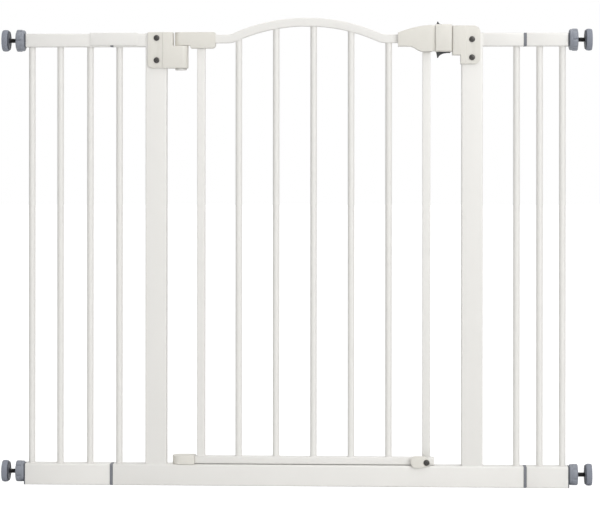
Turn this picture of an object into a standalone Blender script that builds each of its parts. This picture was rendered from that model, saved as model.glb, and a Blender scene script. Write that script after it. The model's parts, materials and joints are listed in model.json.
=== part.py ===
"""A pressure-mounted safety gate: a tube frame with a swinging door, made as separate parts.

Row frame: origin on the floor under the middle of the gate, +X to the latch side, +Y away from
the side that the door opens to, +Z up. All sizes are in millimetres, and skin() scales them.
"""

import math

import bmesh
import bpy
from mathutils import Vector

MM = 0.001                 # one millimetre in Blender's metres
GAP = 0.3                  # air between pieces that touch
WALL = 1.5                 # wall of the square tubes

# Overall
HALF_WIDTH = 489.0         # middle of the gate to the outer face of a wall pad
TUBE_END = 449.6           # middle of the gate to the outer end of a rail

# Rails: low, high and half depth
BASE = (0.0, 35.0, 13.5)
TOP = (728.0, 750.0, 10.0)

# The main frame and the two extensions
FRAME_LEFT, FRAME_RIGHT = -302.9, 376.4
COLLAR = 4.6               # visible width of a connector between two rails
LEFT_POST = (-249.1, -214.1)
RIGHT_POST = (274.4, 309.3)
POST_HALF_DEPTH = 11.0
BASE_RADIUS, TOP_RADIUS, POST_RADIUS = 2.5, 2.1, 2.0
BAR_RADIUS = 5.5
BAR_WALL = 1.0
LEFT_BARS = (-439.9, -392.4, -342.4)
RIGHT_BARS = (403.3, 440.8)
INNER_BARS = {"left": -293.6, "right": 365.3}

# Door
HINGE_X = -191.0
DOOR_HALF_DEPTH = 7.0
DOOR_TOP = (734.0, 748.0)
DOOR_BOTTOM = (36.1, 48.5)
DOOR_RADIUS = 1.5
DOOR_RAIL = (-167.0, 230.0)
HINGE_STILE = (-163.5, -150.4)
LATCH_STILE = (210.1, 223.1)
DOOR_BAR_FIRST, DOOR_BAR_PITCH, DOOR_BAR_COUNT = -94.5, 62.16, 5
ARCH_CENTRE, ARCH_HALF = 17.7, 133.5
ARCH_RISE = 27.7
ARCH_TURN = math.radians(23.8)
ARCH_SHOULDER = 40.0       # radius of the two reverse curves at the ends of the arch

# Plastic parts at the hinge and the latch
CHEEK = 14.3               # half depth of the bracket, handle, latch block and keeper
FLANGE_FRONT = -13.5
PLATE_BACK = -11.3
PIN_RADIUS = 4.0
BORE_RADIUS = PIN_RADIUS + GAP
BRACKET = (-245.3, -178.9, 692.5, 751.9)
BRACKET_SHOULDER = (-203.9, 729.3)
BRACKET_STEP = (-220.6, -219.8)      # where the flange steps out to the cheek
BRACKET_SCREWS = (-230.4, (742.2, 705.2))
KEEPER = (259.0, 305.0, 698.7, 761.8)
KEEPER_WING_LOW = 713.7
KEEPER_LIP = 1.2           # wall beside the post below the wing
KEEPER_STEP = (280.0, 280.8)
POCKET = (6.5, 6.6, 8.6)   # depth, half width and half height of the keeper's pocket
KEEPER_SCREWS = (291.4, (739.1, 709.2))
SLEEVE = (-341.6, -263.4, 730.3)     # left end, right end and lower edge
SLEEVE_WALL = 1.1
ARM = (-201.0, -133.3, 730.0, 752.1)
ARM_LIP = 725.4
ARM_STEP = (-175.2, -174.7, -174.0)  # where the arm's underside drops to its lip
ARM_HALF_DEPTH = 10.0
PIN_TOP = 746.0
SHOE_HALF_DEPTH = 13.4
SHOE_TOP = 49.6
HANDLE = (169.5, 226.4)
HANDLE_TOPS = (750.5, 762.9)         # at the left end and at the right end
HANDLE_BOTTOMS = (728.5, 719.5)
HANDLE_CROWN = 200.0                 # where the two curves of its outline are drawn towards
HANDLE_BEND = (187.0, 193.0, 206.0, 212.0)
SHELL = 2.2
LATCH = (231.6, 258.2, 718.8, 764.3)
LATCH_WALL = 1.2
NECK_RADIUS = 2.5
NECK_INSET = 3.2           # of the neck's front and back behind those of the handle
LATCH_MIDDLE = 742.0
NECK_END = 243.0
TONGUE_END = 262.5
TONGUE = (6.0, 8.0)        # half width and half height
YOKE = (250.0, 254.0, 6.0) # left, right and half depth of the bar that joins the grips
GRIP_START, GRIP_TAIL, FIN_TAIL = 232.8, 256.0, 240.6
GRIP_TIPS = (768.7, 709.3)
TIE_HALF_WIDTH = 6.5       # of the strip in the block's top that joins the fin to the bar
STOPPER = (216.8, 41.0)
STOPPER_DEPTHS = (-18.0, -15.6, -14.0)
STOPPER_HUB, STOPPER_BOSS = 5.9, 4.6
SCREW_HEAD, SCREW_SHANK = 4.9, 2.0

# Wall adjusters
TOP_ADJUSTER, BOTTOM_ADJUSTER = 738.8, 21.0
ADJUSTERS = {"left_top": (-1, TOP_ADJUSTER), "left_bottom": (-1, BOTTOM_ADJUSTER),
             "right_top": (1, TOP_ADJUSTER), "right_bottom": (1, BOTTOM_ADJUSTER)}
SPINDLE_RADIUS = 4.0
SPINDLE_INNER = 408.0
PAD_RADIUS = 18.2
PAD_BACK = 477.5
NUT_LOBES = 6
NUT_RADIUS = 18.4
NUT = (451.6, 465.7)
NUT_TURNS = {TOP_ADJUSTER: 0.0, BOTTOM_ADJUSTER: math.radians(19.0)}
PLUG_DEPTH, PLUG_FLANGE = 14.0, 1.4


# ---------------------------------------------------------------- materials

def finish(name, colour, roughness, metallic=0.0):
    """Return a Principled material."""
    material = bpy.data.materials.new(name)
    material.use_nodes = True
    shader = material.node_tree.nodes["Principled BSDF"]
    shader.inputs["Base Color"].default_value = (*colour, 1.0)
    shader.inputs["Roughness"].default_value = roughness
    shader.inputs["Metallic"].default_value = metallic
    return material


# ---------------------------------------------------------------- outlines

def arc(a, b, radius, start, end, steps):
    """Return points of an arc about (a, b) from start to end, in degrees."""
    angles = [math.radians(start + (end - start) * i / steps) for i in range(steps + 1)]
    return [(a + radius * math.cos(t), b + radius * math.sin(t)) for t in angles]


def rounded(a0, a1, b0, b1, radius, steps=3):
    """Return a rounded rectangle, anticlockwise from the high-a side of its high corner."""
    corners = ((a1 - radius, b1 - radius, 0), (a0 + radius, b1 - radius, 90),
               (a0 + radius, b0 + radius, 180), (a1 - radius, b0 + radius, 270))
    points = []
    for a, b, start in corners:
        points += arc(a, b, radius, start, start + 90, steps)
    return points


def circle(a, b, radius, count=20):
    """Return a circle whose points match those of rounded() one for one when count is 16."""
    turns = [(i + 0.5) * 2 * math.pi / count for i in range(count)]
    return [(a + radius * math.cos(t), b + radius * math.sin(t)) for t in turns]


def place(axis, a, b, along):
    """Return the point at (a, b) across an axis and along it."""
    return {"x": (along, a, b), "y": (a, along, b), "z": (a, b, along)}[axis]


def bezier(start, pull, end, steps):
    """Return the points of a quadratic curve after its start."""
    points = []
    for i in range(1, steps + 1):
        t = i / steps
        weights = ((1 - t) ** 2, 2 * t * (1 - t), t ** 2)
        pulls = list(zip(weights, (start, pull, end)))
        points.append(tuple(sum(w * p[k] for w, p in pulls) for k in (0, 1)))
    return points


# ---------------------------------------------------------------- meshes

def skin(loops, ring=False):
    """Return a closed mesh through equal loops of points; a ring joins its last loop to its first."""
    mesh = bmesh.new()
    rows = [[mesh.verts.new(Vector(point) * MM) for point in loop] for loop in loops]
    pairs = list(zip(rows, rows[1:]))
    if ring:
        pairs.append((rows[-1], rows[0]))
    else:
        mesh.faces.new(rows[0])
        mesh.faces.new(rows[-1])
    for low, high in pairs:
        for i in range(len(low)):
            j = (i + 1) % len(low)
            mesh.faces.new((low[i], low[j], high[j], high[i]))
    bmesh.ops.recalc_face_normals(mesh, faces=mesh.faces)
    return mesh


def loop(axis, outline, along):
    """Return an outline placed along an axis."""
    return [place(axis, a, b, along) for a, b in outline]


def prism(axis, outline, low, high):
    """Return a solid with one outline from end to end."""
    return skin([loop(axis, outline, low), loop(axis, outline, high)])


def box(x0, x1, y0, y1, z0, z1):
    """Return a box."""
    return prism("z", [(x0, y0), (x1, y0), (x1, y1), (x0, y1)], z0, z1)


def pipe(axis, outer, inner, low, high):
    """Return a tube that is open at both ends."""
    rows = ((outer, low), (outer, high), (inner, high), (inner, low))
    return skin([loop(axis, outline, along) for outline, along in rows], ring=True)


def cup(axis, outer, inner, mouth, outer_end, inner_end):
    """Return a tube that is open at its mouth and closed at its other end."""
    rows = ((inner, inner_end), (inner, mouth), (outer, mouth), (outer, outer_end))
    return skin([loop(axis, outline, along) for outline, along in rows])


def turned(axis, a, b, profile, count=20):
    """Return a solid turned about an axis from a profile of (along, radius)."""
    return skin([loop(axis, circle(a, b, radius, count), along) for along, radius in profile])


def rod(axis, a, b, radius, low, high, count=20):
    """Return a plain round rod."""
    return turned(axis, a, b, [(low, radius), (high, radius)], count=count)


# ---------------------------------------------------------------- objects

def world_place(thing):
    """Return an unturned object's place in the world, in metres."""
    total = Vector((0, 0, 0))
    while thing is not None:
        total += thing.location
        thing = thing.parent
    return total


def pivot(name, x, y, z, parent=None):
    """Add an empty on a joint's axis."""
    empty = bpy.data.objects.new(name, None)
    empty.empty_display_size = 0.02
    bpy.context.collection.objects.link(empty)
    empty.parent = parent
    empty.location = Vector((x, y, z)) * MM - world_place(parent)
    return empty


def add(name, mesh, material, parent=None):
    """Add a named object whose origin is its parent's, from a mesh in world millimetres."""
    origin = world_place(parent)
    bmesh.ops.translate(mesh, verts=mesh.verts, vec=-origin)
    data = bpy.data.meshes.new(name)
    mesh.to_mesh(data)
    mesh.free()
    data.shade_smooth()
    data.set_sharp_from_angle(angle=math.radians(32))
    thing = bpy.data.objects.new(name, data)
    bpy.context.collection.objects.link(thing)
    if material is not None:
        data.materials.append(material)
    thing.parent = parent
    return thing


def combine(thing, mesh, operation):
    """Join a mesh to an object or cut it away, with a hidden guide object."""
    guide = add(f"{thing.name}_{operation.lower()}_{len(thing.modifiers)}", mesh, None, thing.parent)
    guide.hide_render = True
    guide.display_type = "WIRE"
    boolean = thing.modifiers.new(guide.name, "BOOLEAN")
    boolean.operation = operation
    boolean.solver = "EXACT"
    boolean.object = guide


def cut(thing, mesh):
    """Cut a mesh away from an object."""
    combine(thing, mesh, "DIFFERENCE")


def join(thing, mesh):
    """Join a mesh to an object."""
    combine(thing, mesh, "UNION")


def round_corner(thing, x, z, side, rise, radius):
    """Round one corner of a part as seen from the front; side and rise point out of it."""
    out = 2.0
    centre = (x - radius * side, z - radius * rise)
    first = 0 if side > 0 else 180
    last = 90 if rise > 0 else (-90 if side > 0 else 270)
    curve = arc(*centre, radius, first, last, 6)
    outline = [(x + out * side, z + out * rise), (x + out * side, z - radius * rise)]
    outline += curve
    outline.append((x - radius * side, z + out * rise))
    cut(thing, prism("y", outline, -30.0, 30.0))


# ---------------------------------------------------------------- repeated parts

def section(rail, radius, inset=0.0):
    """Return a rail's outline across X, drawn in by an inset."""
    low, high, half = rail
    return rounded(-half + inset, half - inset, low + inset, high - inset, radius)


def rail_tube(name, rail, x0, x1, material, radius=BASE_RADIUS):
    """Add a hollow rail along X."""
    return add(name, pipe("x", section(rail, radius), section(rail, radius - WALL, WALL), x0, x1), material)


def bar(name, x, z0, z1, material, parent=None):
    """Add a hollow round bar that stands between two rails."""
    outer = circle(x, 0.0, BAR_RADIUS)
    inner = circle(x, 0.0, BAR_RADIUS - BAR_WALL)
    return add(name, pipe("z", outer, inner, z0, z1), material, parent)


def connector(name, rail, x0, material, radius=BASE_RADIUS):
    """Add a connector: a collar between two rails with a hollow spigot into each."""
    spigot = 16.0
    x1 = x0 + COLLAR
    fit = WALL + GAP
    wide = section(rail, radius)
    thin = section(rail, radius - fit, fit)
    bore = section(rail, 0.5, fit + 2.0)
    rows = ((thin, x0 - spigot), (thin, x0), (wide, x0), (wide, x1), (thin, x1), (thin, x1 + spigot),
            (bore, x1 + spigot), (bore, x0 - spigot))
    return add(name, skin([loop("x", outline, x) for outline, x in rows], ring=True), material)


def screw(name, x, z, front, tip, material, parent=None):
    """Add a domed screw that enters from the front; front is the face that its head bears on."""
    seat = front - GAP
    profile = [(seat - 2.2, 2.4), (seat - 1.8, 4.0), (seat - 0.9, SCREW_HEAD), (seat, SCREW_HEAD),
               (seat, SCREW_SHANK), (tip, SCREW_SHANK)]
    return add(name, turned("y", x, z, profile), material, parent)


def screw_hole(thing, x, z, front, back):
    """Cut a clearance hole for a screw."""
    cut(thing, rod("y", x, z, SCREW_SHANK + GAP, front, back))


# ---------------------------------------------------------------- frame

def build_posts(steel):
    """Add both posts, each with the short top rail that is welded to its outer side."""
    sides = (("left_post", LEFT_POST, (FRAME_LEFT, LEFT_POST[0]), BRACKET_SCREWS),
             ("right_post", RIGHT_POST, (RIGHT_POST[1], FRAME_RIGHT), KEEPER_SCREWS))
    half = POST_HALF_DEPTH
    bite = 0.8                 # how far the short rail reaches into the post's wall
    for name, (x0, x1), (stub0, stub1), (screw_x, screw_heights) in sides:
        post = add(name, prism("z", rounded(x0, x1, -half, half, POST_RADIUS), BASE[1] + GAP, TOP[1]), steel)
        out = -1 if stub0 < x0 else 1
        outer_end, weld = (stub0, stub1) if out < 0 else (stub1, stub0)
        ends = sorted((outer_end, weld - out * bite))
        join(post, prism("x", section((TOP[0], TOP[1] - 0.05, TOP[2]), TOP_RADIUS), *ends))
        cavity = rounded(x0 + WALL, x1 - WALL, -half + WALL, half - WALL, POST_RADIUS - 1.2)
        cut(post, prism("z", cavity, BASE[1] - 5.0, TOP[1] + 5.0))
        ends = sorted((outer_end + out * 5.0, weld))
        cut(post, prism("x", section(TOP, TOP_RADIUS - 1.2, WALL), *ends))
        for height in screw_heights:
            screw_hole(post, screw_x, height, -half - 2.0, -half + 3.0)


def build_frame(steel, grey):
    """Add the rails, posts, bars and connectors that stay still."""
    base = rail_tube("base_rail", BASE, FRAME_LEFT, FRAME_RIGHT, steel)
    cut(base, rod("z", HINGE_X, 0.0, BORE_RADIUS, BASE[1] - 4.0, BASE[1] + 2.0))
    build_posts(steel)
    bar_low, bar_high = BASE[1] + GAP, TOP[0] - GAP
    for side, x in INNER_BARS.items():
        bar(f"{side}_inner_bar", x, bar_low, bar_high, steel)
    left_end = FRAME_LEFT - COLLAR - 2 * GAP
    right_end = FRAME_RIGHT + COLLAR + 2 * GAP
    spans = (("left", -TUBE_END, left_end, LEFT_BARS), ("right", right_end, TUBE_END, RIGHT_BARS))
    for side, x0, x1, bars in spans:
        rail_tube(f"{side}_extension_top_rail", TOP, x0, x1, steel, TOP_RADIUS)
        rail_tube(f"{side}_extension_bottom_rail", BASE, x0, x1, steel)
        for number, x in enumerate(bars, 1):
            bar(f"{side}_extension_bar_{number}", x, bar_low, bar_high, steel)
    for side, x0 in (("left", left_end + GAP), ("right", FRAME_RIGHT + GAP)):
        connector(f"{side}_top_connector", TOP, x0, grey, TOP_RADIUS)
        connector(f"{side}_bottom_connector", BASE, x0, grey)


def build_sleeve(steel):
    """Add the open-bottomed sleeve over the left joint of the top rails."""
    left, right, low = SLEEVE
    inside = TOP[2] + GAP
    outside = inside + SLEEVE_WALL
    ceiling = TOP[1] + GAP
    high = ceiling + SLEEVE_WALL
    chamfer = 1.2
    outline = [(-outside, low), (-inside, low), (-inside, ceiling), (inside, ceiling), (inside, low)]
    outline += [(outside, low), (outside, high - chamfer), (outside - chamfer, high)]
    outline += [(chamfer - outside, high), (-outside, high - chamfer)]
    add("left_joint_sleeve", prism("x", outline, left, right), steel)


# ---------------------------------------------------------------- hinge and keeper on the posts

def build_bracket(cream, screw_steel, pin_steel):
    """Add the upper hinge bracket on the left post, its screws and its pin."""
    left, right, low, high = BRACKET
    back_of_post = POST_HALF_DEPTH
    side = LEFT_POST[1] + GAP
    radius = 10.0
    outline = [(left, FLANGE_FRONT), (BRACKET_STEP[0], FLANGE_FRONT), (BRACKET_STEP[1], -CHEEK)]
    outline += arc(right - radius, -CHEEK + radius, radius, -90, 0, 6)
    outline += arc(right - radius, CHEEK - radius, radius, 0, 90, 6)
    outline += [(side + 0.4, CHEEK), (side + 0.4, back_of_post), (left, back_of_post)]
    bracket = add("hinge_bracket", prism("z", outline, low, high), cream)
    cut(bracket, box(left - 10, side, PLATE_BACK, CHEEK + 5, low - 5, TOP[1] + GAP))
    shoulder_x, shoulder_z = BRACKET_SHOULDER
    cut(bracket, box(shoulder_x, right + 5, -CHEEK - 5, CHEEK + 5, shoulder_z, high + 5))
    round_corner(bracket, left, low, -1, -1, 8.0)
    cut(bracket, rod("z", HINGE_X, 0.0, BORE_RADIUS, low - 5, shoulder_z + 5))
    x, heights = BRACKET_SCREWS
    for label, z in zip(("upper", "lower"), heights):
        screw_hole(bracket, x, z, FLANGE_FRONT - 2, PLATE_BACK + 2)
        screw(f"hinge_bracket_screw_{label}", x, z, FLANGE_FRONT, -5.0, screw_steel)
    cap = low - GAP
    head = 9.65
    profile = [(cap - 3.2, head - 1), (cap - 2.4, head), (cap, head)]
    profile += [(cap, PIN_RADIUS), (PIN_TOP, PIN_RADIUS)]
    add("upper_hinge_pin", turned("z", HINGE_X, 0.0, profile), pin_steel)


def build_keeper(cream, screw_steel):
    """Add the latch keeper on the right post, with the pocket for the latch tongue."""
    left, right, low, high = KEEPER
    side = RIGHT_POST[0] - GAP
    outline = arc(left + 3, -CHEEK + 3, 3, 180, 270, 3)
    outline += [(KEEPER_STEP[0], -CHEEK), (KEEPER_STEP[1], FLANGE_FRONT)]
    outline += [(right, FLANGE_FRONT), (right, POST_HALF_DEPTH), (side - 0.4, POST_HALF_DEPTH)]
    outline += [(side - 0.4, CHEEK)] + arc(left + 3, CHEEK - 3, 3, 90, 180, 3)
    keeper = add("latch_keeper", prism("z", outline, low, high), cream)
    cut(keeper, box(side, right + 10, PLATE_BACK, CHEEK + 5, low - 5, TOP[1] + GAP))
    cut(keeper, box(left - 5, side - KEEPER_LIP, -CHEEK - 5, CHEEK + 5, low - 5, KEEPER_WING_LOW))
    round_corner(keeper, right, high, 1, 1, 10.5)
    round_corner(keeper, right, low, 1, -1, 9.0)
    deep, wide, tall = POCKET
    cut(keeper, box(left - 5, left + deep, -wide, wide, LATCH_MIDDLE - tall, LATCH_MIDDLE + tall))
    x, heights = KEEPER_SCREWS
    for label, z in zip(("upper", "lower"), heights):
        screw_hole(keeper, x, z, FLANGE_FRONT - 2, PLATE_BACK + 2)
        screw(f"keeper_screw_{label}", x, z, FLANGE_FRONT, -5.0, screw_steel)


# ---------------------------------------------------------------- door

def arch_path():
    """Return the door's top rail as (x, height above the flats, slope), from hinge to latch."""
    crown = ARCH_RISE / (1 - math.cos(ARCH_TURN)) - ARCH_SHOULDER
    flat = ARCH_HALF - (crown + ARCH_SHOULDER) * math.sin(ARCH_TURN)
    half = []
    for i in range(6):
        slope = ARCH_TURN * i / 5
        x = ARCH_SHOULDER * math.sin(slope) - ARCH_HALF
        half.append((x, ARCH_SHOULDER * (1 - math.cos(slope)), slope))
    for i in range(1, 11):
        slope = ARCH_TURN * (1 - i / 10)
        half.append((-flat - crown * math.sin(slope), ARCH_RISE - crown * (1 - math.cos(slope)), slope))
    path = [(HINGE_STILE[0], 0.0, 0.0)]
    path += [(ARCH_CENTRE + x, height, slope) for x, height, slope in half]
    path += [(ARCH_CENTRE - x, height, -slope) for x, height, slope in reversed(half)]
    path.append((LATCH_STILE[1], 0.0, 0.0))
    return path


def arch_underside(x):
    """Return the height of the top rail's underside at x."""
    path = arch_path()
    middle = (DOOR_TOP[0] + DOOR_TOP[1]) / 2
    half = (DOOR_TOP[1] - DOOR_TOP[0]) / 2
    points = [(px + half * math.sin(slope), middle + h - half * math.cos(slope)) for px, h, slope in path]
    for (x0, z0), (x1, z1) in zip(points, points[1:]):
        if x0 <= x <= x1:
            return z0 + (z1 - z0) * (x - x0) / (x1 - x0)
    return DOOR_TOP[0]


def build_door_top_rail(steel, parent):
    """Add the hollow arched rail."""
    middle = (DOOR_TOP[0] + DOOR_TOP[1]) / 2
    half = (DOOR_TOP[1] - DOOR_TOP[0]) / 2
    stations = []
    for radius, inset in ((DOOR_RADIUS, 0.0), (0.6, WALL)):
        deep, tall = DOOR_HALF_DEPTH - inset, half - inset
        outline = rounded(-deep, deep, -tall, tall, radius, 2)
        rows = []
        for x, height, slope in arch_path():
            across, up = math.sin(slope), math.cos(slope)
            rows.append([(x - b * across, a, middle + height + b * up) for a, b in outline])
        stations.append(rows)
    outer, inner = stations
    add("door_top_rail", skin(outer + inner[::-1], ring=True), steel, parent)


def build_door_bar(number, steel, parent):
    """Add one door bar, cut to the underside of the arched rail."""
    x = DOOR_BAR_FIRST + DOOR_BAR_PITCH * (number - 1)
    outer = circle(x, 0.0, BAR_RADIUS)
    inner = circle(x, 0.0, BAR_RADIUS - BAR_WALL)
    low = DOOR_BOTTOM[1] + GAP
    rows = []
    for outline, is_top in ((outer, False), (outer, True), (inner, True), (inner, False)):
        rows.append([(a, b, arch_underside(a) - 0.5 if is_top else low) for a, b in outline])
    add(f"door_bar_{number}", skin(rows, ring=True), steel, parent)


def build_door(steel, cream, parent):
    """Add the door's rails, stiles and bars."""
    depth = DOOR_HALF_DEPTH
    build_door_top_rail(steel, parent)
    outer = rounded(-depth, depth, *DOOR_BOTTOM, DOOR_RADIUS)
    inner = rounded(-depth + WALL, depth - WALL, DOOR_BOTTOM[0] + WALL, DOOR_BOTTOM[1] - WALL, 0.6)
    left, right = DOOR_RAIL
    bottom = add("door_bottom_rail", cup("x", outer, inner, left, right, right - WALL), steel, parent)
    screw_hole(bottom, *STOPPER, -depth - 2, -depth + 3)
    for name, (x0, x1) in (("hinge_stile", HINGE_STILE), ("latch_stile", LATCH_STILE)):
        outer = rounded(x0, x1, -depth, depth, DOOR_RADIUS)
        inner = rounded(x0 + WALL, x1 - WALL, -depth + WALL, depth - WALL, 0.6)
        add(name, pipe("z", outer, inner, DOOR_BOTTOM[1] + GAP, DOOR_TOP[0] - GAP), steel, parent)
    for number in range(1, DOOR_BAR_COUNT + 1):
        build_door_bar(number, steel, parent)
    build_hinge_arm(cream, parent)
    build_hinge_shoe(cream, parent)


def tube_space(x0, x1, z0, z1):
    """Return the space that the door's tubes need inside a plastic part."""
    reach = DOOR_HALF_DEPTH + GAP
    return box(x0, x1, -reach, reach, z0, z1)


def build_hinge_arm(cream, parent):
    """Add the arm that holds the door's top corner and turns on the upper pin."""
    left, right, low, high = ARM
    half = ARM_HALF_DEPTH
    first, second, third = ARM_STEP
    outline = [(left, high), (left, low), (first, low), (second, low - 1.5), (third, ARM_LIP)]
    outline += arc(right - 6, ARM_LIP + 6, 6, -90, 0, 5) + [(right, high - 1.5), (right - 1.5, high)]
    arm = add("hinge_arm", prism("y", outline, -half, half), cream, parent)
    wide = half + 2
    nose = [(left - 5, -wide), (HINGE_X, -wide)] + arc(HINGE_X, 0, half, 270, 90, 14)
    nose += [(HINGE_X, wide), (left - 5, wide)]
    cut(arm, prism("z", nose, ARM_LIP - 5, high + 5))
    cut(arm, tube_space(HINGE_STILE[0] - GAP, right + 5, DOOR_TOP[0] - GAP, DOOR_TOP[1] + GAP))
    cut(arm, tube_space(HINGE_STILE[0] - GAP, HINGE_STILE[1] + GAP, ARM_LIP - 5, DOOR_TOP[0] + 2))
    cut(arm, rod("z", HINGE_X, 0.0, BORE_RADIUS, low - 5, PIN_TOP + GAP))


def build_hinge_shoe(cream, parent):
    """Add the shoe on the door's lower corner, with the spigot that turns in the base rail."""
    low, high, half = BASE[1] + GAP, SHOE_TOP, SHOE_HALF_DEPTH
    right = DOOR_RAIL[0] - GAP
    outline = [(right, -half), (right, half)] + arc(HINGE_X, 0, half, 90, 270, 14)
    shoe = add("lower_hinge_shoe", prism("z", outline, low, high), cream, parent)
    fit = WALL + GAP
    join(shoe, box(right - 3, DOOR_RAIL[0] + 12, -DOOR_HALF_DEPTH + fit, DOOR_HALF_DEPTH - fit,
                   DOOR_BOTTOM[0] + fit, DOOR_BOTTOM[1] - fit))
    join(shoe, rod("z", HINGE_X, 0.0, PIN_RADIUS, BASE[1] - 8.0, low + 3))


# ---------------------------------------------------------------- handle and latch

def handle_outline(inset=0.0):
    """Return the handle's outline from the front, drawn in by an inset."""
    left, right = HANDLE[0] + inset, HANDLE[1] - inset
    top_left, top_right = (top - inset for top in HANDLE_TOPS)
    low_left, low_right = (low + inset for low in HANDLE_BOTTOMS)
    start, first_pull, second_pull, end = HANDLE_BEND
    points = [(right, low_right), (right, top_right)]
    points += bezier((right, top_right), (HANDLE_CROWN, top_right - 0.5), (left, top_left), 10)
    points += [(left, low_left), (start, low_left)]
    middle = ((start + end) / 2, (low_left + low_right) / 2)
    points += bezier((start, low_left), (first_pull, low_left), middle, 4)
    points += bezier(middle, (second_pull, low_right), (end, low_right), 4)
    return points


def neck_outline(side, seam, depth, low, high):
    """Return half of the neck's outline across X, from the seam round one side."""
    radius = NECK_RADIUS
    upper = arc(depth - radius, high - radius, radius, 90, 0, 3)
    lower = arc(depth - radius, low + radius, radius, 0, -90, 3)
    return [(seam, high)] + [(side * a, b) for a, b in upper + lower] + [(seam, low)]


def build_handle(cream, parent):
    """Add the front and rear shells of the handle, with the neck that guides the latch block."""
    low, high = LATCH[2] + LATCH_WALL + GAP, LATCH[3] - LATCH_WALL - GAP
    depth = CHEEK - NECK_INSET
    for name, side in (("handle_front_shell", -1), ("handle_rear_shell", 1)):
        seam = side * GAP / 2
        shell = add(name, prism("y", handle_outline(), *sorted((seam, side * CHEEK))), cream, parent)
        join(shell, prism("x", neck_outline(side, seam, depth, low, high), HANDLE[1] - 2, NECK_END))
        inner = sorted((-side * 5, side * (CHEEK - SHELL)))
        cut(shell, prism("y", handle_outline(SHELL), *inner))
        cut(shell, tube_space(HANDLE[0] - 5, HANDLE[0] + 5, DOOR_TOP[0] - GAP, DOOR_TOP[1] + GAP))
        cut(shell, tube_space(LATCH_STILE[0] - GAP, LATCH_STILE[1] + GAP, LATCH[2] - 9, LATCH[2] + 6))
        bore = sorted((-side * 5, side * (depth - SHELL)))
        cut(shell, box(HANDLE[1] + 2, NECK_END + 5, *bore, low + SHELL, high - SHELL))


def wedge(base, apex, end, pull, lip):
    """Return a thumb grip's outline: steep on the handle side, hollow and tapering to its end."""
    lean = 1.6
    tip = (GRIP_START + 2 * lean, apex)
    tail = (end, base + lip)
    points = [(GRIP_START, base), (GRIP_START + lean, apex), tip]
    points += bezier(tip, (tip[0] + pull, tail[1]), tail, 6)
    points.append((end, base))
    return points


def build_latch(cream, grip_grey, spring_steel, parent, door_parent):
    """Add the sliding latch block with its tongue, the grip yoke through it and its spring."""
    left, right, low, high = LATCH
    outer = rounded(-CHEEK, CHEEK, low, high, 4.0)
    inset = LATCH_WALL
    inner = rounded(-CHEEK + inset, CHEEK - inset, low + inset, high - inset, 4.0 - inset)
    block = add("latch_block", cup("x", outer, inner, left, right, right - SHELL), cream, parent)
    wide, tall = TONGUE
    root = right - 1.5
    tongue = [(root, -wide), (TONGUE_END, -wide), (TONGUE_END, 0.5), (right + 0.6, wide), (root, wide)]
    join(block, prism("z", tongue, LATCH_MIDDLE - tall, LATCH_MIDDLE + tall))
    web_left, web_right, web_half = YOKE
    slot = (web_left - GAP, web_right + GAP, -web_half - GAP, web_half + GAP)
    cut(block, box(*slot, low - 5, low + 5))
    cut(block, box(*slot, high - 5, high + 5))
    tie = TIE_HALF_WIDTH
    cut(block, box(GRIP_START - GAP, web_left + 1, -tie - GAP, tie + GAP, high - 4, high + 5))
    strip = high - LATCH_WALL
    web = box(web_left, web_right, -web_half, web_half, low - 1.2, high - 0.1)
    grip = add("latch_grip", web, grip_grey, parent)
    join(grip, box(GRIP_START, web_left + 1, -tie, tie, strip, high - 0.1))
    join(grip, prism("y", wedge(strip + 0.2, GRIP_TIPS[0], FIN_TAIL, 0.6, 1.4), -tie + 0.1, tie - 0.1))
    join(grip, prism("y", wedge(low - GAP, GRIP_TIPS[1], GRIP_TAIL, 2.5, -0.9), -7.1, 7.1))
    add("latch_spring", spring(HANDLE[1] + 2 + GAP, web_left - GAP), spring_steel, door_parent)


def spring(x0, x1):
    """Return a compression spring along X with ends that lie flat."""
    turns, radius, wire, sides, per_turn = 6, 4.2, 0.45, 5, 12
    end_pitch = 2.6 * wire
    free = x1 - x0 - 2 * wire - 2 * end_pitch
    rows = []
    for i in range(turns * per_turn + 1):
        t = i / per_turn
        share = min(max((t - 1) / (turns - 2), 0.0), 1.0)
        end_turn = min(t, 1.0) + max(t - (turns - 1), 0.0)
        along = x0 + wire + free * share + end_pitch * end_turn
        across, up = math.cos(2 * math.pi * t), math.sin(2 * math.pi * t)
        row = []
        for k in range(sides):
            turn = 2 * math.pi * k / sides
            reach = radius + wire * math.cos(turn)
            row.append((along + wire * math.sin(turn), reach * across, LATCH_MIDDLE + reach * up))
        rows.append(row)
    return skin(rows)


def build_stopper(cream, screw_steel, parent):
    """Add the lever that keeps the door from swinging the other way, and the screw it turns on."""
    x, z = STOPPER
    outline = arc(x, z, STOPPER_HUB, -90, 60, 8) + [(212.0, 51.8), (199.0, 51.8)]
    outline += arc(197.5, 45.3, 6.5, 90, 180, 5) + arc(200.0, 41.6, 9.0, 180, 270, 6) + [(207.5, 32.7)]
    front, seat, back = STOPPER_DEPTHS
    lever = add("stopper_lever", prism("y", outline, front, back), cream, parent)
    join(lever, rod("y", x, z, STOPPER_BOSS, back - 1.0, -DOOR_HALF_DEPTH - GAP))
    cut(lever, rod("y", x, z, SCREW_HEAD + GAP, front - 5.0, seat))
    screw_hole(lever, x, z, front - 5.0, 0.0)
    screw("stopper_screw", x, z, seat, -2.0, screw_steel, parent)


# ---------------------------------------------------------------- wall adjusters

def nut_outline(z, radius):
    """Return the lobed outline of a hand nut, with narrow valleys between its lobes."""
    count = NUT_LOBES * 6
    points = []
    for i in range(count):
        turn = 2 * math.pi * i / count
        reach = radius - 1.9 * (1 - abs(math.sin(NUT_LOBES / 2 * turn)) ** 0.35)
        turn += NUT_TURNS[z]
        points.append((reach * math.cos(turn), z + reach * math.sin(turn)))
    return points


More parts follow.
